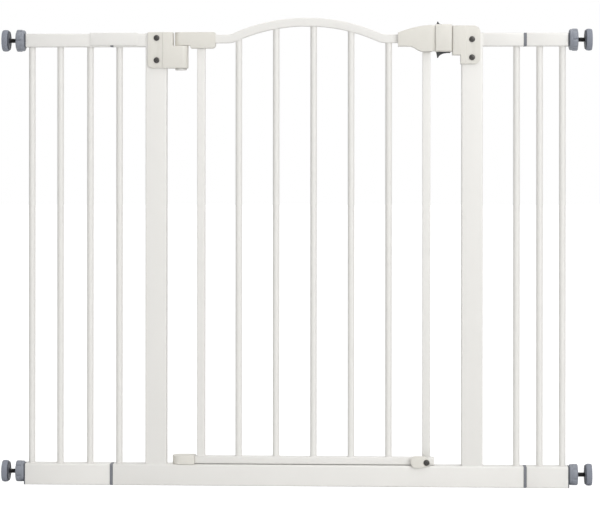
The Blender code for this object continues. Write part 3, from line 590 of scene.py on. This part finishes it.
def build_welds():
    """Show the weld beads, one piece for the frame and one for the door."""
    ring_radius = BAR_RADIUS + 0.15 * MM
    seams = {"frame": [], "door": []}
    for name in sorted(frame["nodes"]):
        if "_bar" not in name:
            continue
        low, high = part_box(name)
        x = (low.x + high.x) / 2
        is_door = name.startswith("door")
        top, slope = arch_underside(x) if is_door else (high.z + 0.1 * MM, 0.0)
        seams["door" if is_door else "frame"] += [ring_at(x, 0, low.z - 0.1 * MM, ring_radius),
                                                  ring_at(x, 0, top, ring_radius, slope)]
    half = TOP_HALF_DEPTH
    for x in (LEFT_POST_SIDE, RIGHT_POST_SIDE):
        loop = rounded(-half, half, TOP_RAIL_LOW, TOP_RAIL_HIGH - 0.2 * MM, TOP_RADIUS)
        seams["frame"].append([(x, y, z) for y, z in loop])
    for name in ("left_post", "right_post"):
        low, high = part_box(name)
        x0, x1 = (LEFT_POST_SIDE, high.x) if name == "left_post" else (low.x, RIGHT_POST_SIDE)
        loop = rounded(x0, x1, -POST_HALF_DEPTH, POST_HALF_DEPTH, POST_RADIUS)
        seams["frame"].append([(x, y, low.z - 0.1 * MM) for x, y in loop])
    for name in ("hinge_stile", "latch_stile"):
        low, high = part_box(name)
        for z in (low.z - 0.1 * MM, high.z + 0.1 * MM):
            loop = rounded(low.x, high.x, low.y + 0.4 * MM, high.y - 0.4 * MM, DOOR_RADIUS)
            seams["door"].append([(x, y, z) for x, y in loop])
    for body, loops in seams.items():
        points, edges = [], []
        for loop in loops:
            first = len(points)
            points += loop
            edges += [(first + i, first + (i + 1) % len(loop)) for i in range(len(loop))]
        values = {"Radius": 0.75 * MM, "Spacing": 0.8 * MM, "Sides": 8, "Unevenness": 0.4 * MM, "Seed": 3.0,
                  "Material": FINISH["white_steel"]}
        data = outward(grow(f"{body}_welds", points, edges, (BEAD, values)))
        data.materials.clear()
        data.materials.append(FINISH["white_steel"])
        piece = bpy.data.objects.new(f"{body}_weld_beads", data)
        bpy.context.collection.objects.link(piece)
        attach(piece, body)


# ---------------------------------------------------------------- moulded parts

def moulded(name, slot, width, clamp=True, label="moulded"):
    """Show a node's own shape with merged faces and rounded edges."""
    mesh = bmesh.new()
    mesh.from_mesh(frame["nodes"][name].data)
    bmesh.ops.remove_doubles(mesh, verts=mesh.verts, dist=4e-6)
    bmesh.ops.dissolve_limit(mesh, angle_limit=math.radians(1.0), verts=mesh.verts, edges=mesh.edges)
    data = bpy.data.meshes.new(name)
    mesh.to_mesh(data)
    mesh.free()
    thing = bpy.data.objects.new(f"{name}_maker", data)
    bpy.context.collection.objects.link(thing)
    bevel = thing.modifiers.new("edges", "BEVEL")
    bevel.width = width
    bevel.segments = 3
    bevel.limit_method = "ANGLE"
    bevel.angle_limit = math.radians(30)
    bevel.miter_outer = "MITER_ARC"
    bevel.use_clamp_overlap = clamp
    bpy.context.view_layer.update()
    depsgraph = bpy.context.evaluated_depsgraph_get()
    made = bpy.data.meshes.new_from_object(thing.evaluated_get(depsgraph))
    bpy.data.objects.remove(thing)
    made.name = name
    made.shade_smooth()
    made.set_sharp_from_angle(angle=math.radians(32))
    return show(f"{name}_{label}", made, slot, name)


def build_moulded_parts():
    """Show the plastic parts at the hinge, the latch and the stop."""
    moulded("hinge_bracket", "cream_plastic", 0.7 * MM)
    moulded("latch_keeper", "cream_plastic", 0.6 * MM)
    moulded("hinge_arm", "cream_plastic", 0.5 * MM)
    moulded("lower_hinge_shoe", "cream_plastic", 0.6 * MM)
    moulded("handle_front_shell", "cream_plastic", 0.9 * MM)
    moulded("handle_rear_shell", "cream_plastic", 0.9 * MM)
    moulded("latch_block", "cream_plastic", 0.4 * MM, clamp=False)
    moulded("latch_grip", "grip_grey", 0.35 * MM)
    moulded("stopper_lever", "cream_plastic", 0.5 * MM)
    moulded("left_joint_sleeve", "white_steel", 0.15 * MM, label="painted")
    for name in sorted(frame["nodes"]):
        if name.endswith("_connector"):
            moulded(name, "connector_grey", 0.35 * MM)
        if name.endswith("_end_plug"):
            moulded(name, "plug_dark", 0.4 * MM)


# ---------------------------------------------------------------- screws, pin and spring

def build_screws():
    """Show the cross-head screws in place of their nodes."""
    for name in sorted(frame["nodes"]):
        if "screw" not in name:
            continue
        low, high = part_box(name)
        middle = (low + high) / 2
        head = (high.x - low.x) / 2
        length = high.y - low.y
        tall = 2.2 * MM
        profile = [(0.0, -length + tall), (1.4 * MM, -length + tall), (2.0 * MM, -length + tall + 0.8 * MM),
                   (2.0 * MM, 0.0), (head - 0.2 * MM, 0.0), (head, 0.2 * MM), (head, 0.7 * MM)]
        for i in range(1, 11):
            turn = math.radians(90 * i / 10)
            profile.append((head * math.cos(turn), 0.7 * MM + (tall - 0.7 * MM) * math.sin(turn)))
        points = [(r, 0.0, z) for r, z in profile]
        edges = [(i, i + 1) for i in range(len(points) - 1)]
        steel = FINISH["screw_steel"]
        data = grow(name, points, edges, (TURNED, {"Segments": 40, "Material": steel}),
                    (RECESS, {"Head Top": tall, "Reach": head * 1.05, "Width": 1.15 * MM, "Depth": 1.3 * MM,
                              "Material": steel}))
        turn = Matrix.Translation((middle.x, low.y + tall, middle.z))
        turn = turn @ Matrix.Rotation(math.radians(90), 4, "X")
        turn = turn @ Matrix.Rotation(math.radians(17 + 23 * (len(name) % 3)), 4, "Z")
        show(f"{name}_head_and_shank", outward(data, turn), "screw_steel", name)


def build_pin():
    """Show the upper hinge pin with its rounded head."""
    low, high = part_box("upper_hinge_pin")
    head = (high.x - low.x) / 2
    tall = high.z - low.z
    profile = [(0.0, 0.0), (head - 3.2 * MM, 0.0)] + [
        (head - 1.2 * MM + 1.2 * MM * math.sin(t), 1.2 * MM - 1.2 * MM * math.cos(t))
        for t in [math.radians(15 * i) for i in range(7)]]
    profile += [(head, 2.9 * MM), (head - 0.3 * MM, 3.2 * MM), (4 * MM, 3.2 * MM),
                (4 * MM, tall - 0.8 * MM), (3.2 * MM, tall), (0.0, tall)]
    turn = Matrix.Translation((HINGE_X, 0.0, low.z))
    show("upper_hinge_pin_turned", turned("upper_hinge_pin", profile, "bright_steel", turn), "bright_steel",
         "upper_hinge_pin")


def build_spring():
    """Show the latch spring, a wire wound with closed ends."""
    low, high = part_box("latch_spring")
    wire = 0.45 * MM
    coil = (high.z - low.z) / 2 - wire
    turns, per_turn = 6, 30
    end_pitch = 2.6 * wire
    free = high.x - low.x - 2 * wire - 2 * end_pitch
    points = []
    for i in range(turns * per_turn + 1):
        t = i / per_turn
        share = min(max((t - 1) / (turns - 2), 0.0), 1.0)
        end_turn = min(t, 1.0) + max(t - (turns - 1), 0.0)
        x = low.x + wire + free * share + end_pitch * end_turn
        turn = 2 * math.pi * t
        points.append((x, coil * math.cos(turn), LATCH_MIDDLE + coil * math.sin(turn)))
    edges = [(i, i + 1) for i in range(len(points) - 1)]
    values = {"Radius": wire, "Spacing": 0.8 * MM, "Sides": 10, "Unevenness": 0.0, "Seed": 0.0,
              "Material": FINISH["bright_steel"]}
    data = outward(grow("latch_spring", points, edges, (BEAD, values)))
    spring = show("latch_spring_wound", data, "bright_steel", "latch_spring")
    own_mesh(spring)


# ---------------------------------------------------------------- wall adjusters

def build_adjusters():
    """Show the hand nuts, threaded spindles and wall pads."""
    for name in ADJUSTERS:
        side = -1 if name.startswith("left") else 1
        facing = Matrix.Rotation(math.radians(90 * side), 4, "Y")
        build_nut(name, side, facing)
        build_spindle(name, side, facing)
        build_pad(name, side, facing)


def reach_of(name):
    """Return how far a node's inner and outer ends are from the middle, its height and its radius."""
    low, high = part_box(name)
    ends = sorted((abs(low.x), abs(high.x)))
    return ends[0], ends[1], (low.z + high.z) / 2, (high.z - low.z) / 2


def build_nut(name, side, facing):
    """Show a hand nut: a plain collar by the tube, a notched rim and a hub in its outer face."""
    inner, outer, z, radius = reach_of(f"{name}_hand_nut")
    thick = outer - inner
    deep = 2.5 * MM
    hole = 4.35 * MM
    collar = 0.36 * thick
    profile = [(hole, 0.0, 0.0), (radius - 3.2 * MM, 0.0, 0.0), (radius - 2.2 * MM, 0.0, 0.3 * MM),
               (radius - 1.2 * MM, 0.0, 1.4 * MM), (radius - 0.9 * MM, 0.0, 2.4 * MM),
               (radius - 0.9 * MM, 0.0, collar - 0.2 * MM), (radius - 0.7 * MM, 0.3 * deep, collar),
               (radius - 0.2 * MM, 0.8 * deep, collar + 0.3 * MM), (radius, deep, collar + 0.9 * MM)]
    for i in range(1, 8):
        t = math.radians(90 * i / 7)
        profile.append((radius - 2.2 * MM + 2.2 * MM * math.cos(t), deep * (1 - 0.3 * math.sin(t)),
                        thick - 2.2 * MM + 2.2 * MM * math.sin(t)))
    profile += [(radius - 4.6 * MM, 0.4 * MM, thick), (radius - 5.6 * MM, 0.0, thick - 0.2 * MM),
                (radius - 6.2 * MM, 0.0, thick - 1.0 * MM), (7.4 * MM, 0.0, thick - 1.0 * MM),
                (7.0 * MM, 0.0, thick - 0.2 * MM), (6.8 * MM, 0.0, thick), (hole + 0.4 * MM, 0.0, thick),
                (hole, 0.0, thick - 0.4 * MM), (hole, 0.0, 0.0)]
    spin = 90.0 + side * (BOTTOM_NUT_TURN if name.endswith("bottom") else 0.0)
    turn = Matrix.Translation((side * inner, 0.0, z)) @ facing @ Matrix.Rotation(math.radians(spin), 4, "Z")
    data = turned(f"{name}_hand_nut", profile, "nut_blue_grey", turn, segments=180,
                  Lobes=NUT_LOBES, Roundness=LOBE_ROUNDNESS)
    show(f"{name}_hand_nut_lobed", data, "nut_blue_grey", f"{name}_hand_nut")


def build_spindle(name, side, facing):
    """Show a spindle with its rolled thread."""
    inner, outer, z, radius = reach_of(f"{name}_spindle")
    length = outer - inner
    depth = 0.85 * MM
    profile = [(0.0, 0.0, 0.0), (radius - 1.2 * MM, 0.0, 0.0), (radius, 0.0, 1.2 * MM),
               (radius, 0.0, 24 * MM)]
    rows = int((length - 26 * MM) / (0.25 * MM))
    for i in range(rows + 1):
        profile.append((radius, depth, 24.5 * MM + i * 0.25 * MM))
    profile += [(radius - depth, 0.0, length), (0.0, 0.0, length)]
    turn = Matrix.Translation((side * inner, 0.0, z)) @ facing
    data = turned(f"{name}_spindle", profile, "spindle_black", turn, segments=32, Threaded=True,
                  Pitch=THREAD_PITCH)
    show(f"{name}_spindle_threaded", data, "spindle_black", f"{name}_spindle")


def build_pad(name, side, facing):
    """Show a rubber wall pad with rings on its wall face, and behind it a disc in dark plastic that paints
    the shade on the pad's back face.
    """
    inner, outer, z, radius = reach_of(f"{name}_wall_pad")
    thick = outer - inner
    socket = 4.3 * MM
    depth = 5.3 * MM
    back = 1.9 * MM
    profile = [(0.0, depth), (socket, depth), (socket, back), (radius - 3.0 * MM, back)]
    for i in range(0, 15):
        t = math.radians(-80 + 160 * i / 14)
        bulge = 1.5 * MM * math.cos(t)
        height = back + (thick - back) * (0.5 + 0.5 * math.sin(t) / math.sin(math.radians(80)))
        profile.append((radius - 1.5 * MM + bulge, height))
    face = thick - 0.5 * MM
    profile.append((radius - 2.6 * MM, face + 0.1 * MM))
    for ring in (13.2, 10.2, 7.2, 4.2):
        profile += [(ring * MM, face), (ring * MM - 0.4 * MM, thick), (ring * MM - 1.4 * MM, thick),
                    (ring * MM - 1.8 * MM, face)]
    profile.append((0.0, face))
    turn = Matrix.Translation((side * inner, 0.0, z)) @ facing
    data = turned(f"{name}_wall_pad", profile, "pad_rubber", turn, segments=72)
    show(f"{name}_wall_pad_ringed", data, "pad_rubber", f"{name}_wall_pad")

    rim = radius - 2.2 * MM
    step_in = rim - 3.0 * MM
    disc = [(socket, back), (step_in, back), (step_in, 1.2 * MM), (rim - 0.2 * MM, 1.2 * MM),
            (rim, 1.0 * MM), (rim, 0.5 * MM), (rim - 0.5 * MM, 0.0), (9.4 * MM, 0.0),
            (9.0 * MM, 0.3 * MM), (7.4 * MM, 0.3 * MM), (7.0 * MM, 0.0), (socket + 0.4 * MM, 0.0),
            (socket, 0.4 * MM), (socket, back)]
    # The disc is dark plastic so that it paints the shade that falls on the back of the pad.
    data = turned(f"{name}_painted_shade_disc", disc, "plug_dark", turn, segments=72)
    data.materials.clear()
    data.materials.append(FINISH["plug_dark"])
    piece = bpy.data.objects.new(f"{name}_painted_shade_disc", data)
    bpy.context.collection.objects.link(piece)
    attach(piece, frame["nodes"][f"{name}_wall_pad"]["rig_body"])


# ---------------------------------------------------------------- studio

def only_for_camera(tree, seen, light):
    """Mix two shaders so that the camera sees one and everything else meets the other."""
    path = step(tree, "ShaderNodeLightPath", {})["Is Camera Ray"]
    return step(tree, "ShaderNodeMixShader", {0: path, 1: light, 2: seen})[0]


def build_studio():
    """Add the floor, the soft lights and the camera."""
    world = bpy.data.worlds.new("studio")
    bpy.context.scene.world = world
    world.use_nodes = True
    tree = world.node_tree
    out = tree.nodes["World Output"]
    seen = step(tree, "ShaderNodeBackground", {"Color": (1, 1, 1, 1), "Strength": 1.0})[0]
    toward = step(tree, "ShaderNodeTexCoord", {})["Generated"]
    across = step(tree, "ShaderNodeSeparateXYZ", {0: toward})["X"]
    sideways = sums(tree, "ABSOLUTE", across)
    even = step(tree, "ShaderNodeMapRange", {"Value": sideways, "From Min": 0.2, "From Max": 0.9,
                                             "To Min": 0.84, "To Max": 0.1})["Result"]
    strength = sums(tree, "MULTIPLY_ADD", across, 0.1, even)
    light = step(tree, "ShaderNodeBackground", {"Color": (1.0, 0.995, 0.985, 1), "Strength": strength})[0]
    tree.links.new(only_for_camera(tree, seen, light), out.inputs["Surface"])

    mesh = bmesh.new()
    bmesh.ops.create_circle(mesh, cap_ends=True, segments=64, radius=30.0)
    bmesh.ops.translate(mesh, verts=mesh.verts, vec=(0, 0, -0.0002))
    floor = bpy.data.objects.new("floor", as_data("floor", mesh))
    bpy.context.collection.objects.link(floor)
    pale = bpy.data.materials.new("pale_floor")
    pale.use_nodes = True
    tree = pale.node_tree
    matt = tree.nodes["Principled BSDF"]
    matt.inputs["Base Color"].default_value = (0.88, 0.88, 0.88, 1)
    matt.inputs["Roughness"].default_value = 0.9
    glow = step(tree, "ShaderNodeEmission", {"Color": (1, 1, 1, 1), "Strength": 1.3})[0]
    soft = step(tree, "ShaderNodeMixShader", {0: 0.78, 1: matt.outputs[0], 2: glow})[0]
    mixed = only_for_camera(tree, soft, matt.outputs[0])
    tree.links.new(mixed, tree.nodes["Material Output"].inputs["Surface"])
    floor.data.materials.append(pale)

    lamp("key_softbox", (2.3, -3.4, 2.4), (0.0, 0.0, 0.4), 2.2, 71.0)
    lamp("left_fill", (-2.6, -3.0, 1.6), (0.0, 0.0, 0.4), 2.0, 6.0)
    lamp("top_light", (0.2, -0.4, 3.2), (0.0, 0.0, 0.3), 2.4, 26.0)

    camera = bpy.data.cameras.new("camera")
    camera.sensor_width = 36.0
    camera.lens = 122.9
    camera.shift_y = -0.1325
    camera.clip_end = 200.0
    camera.dof.use_dof = False
    holder = bpy.data.objects.new("camera", camera)
    bpy.context.collection.objects.link(holder)
    holder.location = (0.1496, -3.397, 0.5184)
    holder.rotation_euler = (math.radians(90), math.radians(-0.04), math.radians(2.4))
    bpy.context.scene.camera = holder
    bpy.context.scene.view_settings.view_transform = "Standard"


def lamp(name, spot, aim, size, power):
    """Add a square soft light that faces a point."""
    data = bpy.data.lights.new(name, "AREA")
    data.shape = "SQUARE"
    data.size = size
    data.energy = power
    light = bpy.data.objects.new(name, data)
    bpy.context.collection.objects.link(light)
    light.location = spot
    light.rotation_euler = (Vector(aim) - Vector(spot)).to_track_quat("-Z", "Y").to_euler()


# ---------------------------------------------------------------- build

build_rails_and_posts()
build_arched_rail()
build_bars()
build_welds()
build_moulded_parts()
build_screws()
build_pin()
build_spring()
build_adjusters()
build_studio()
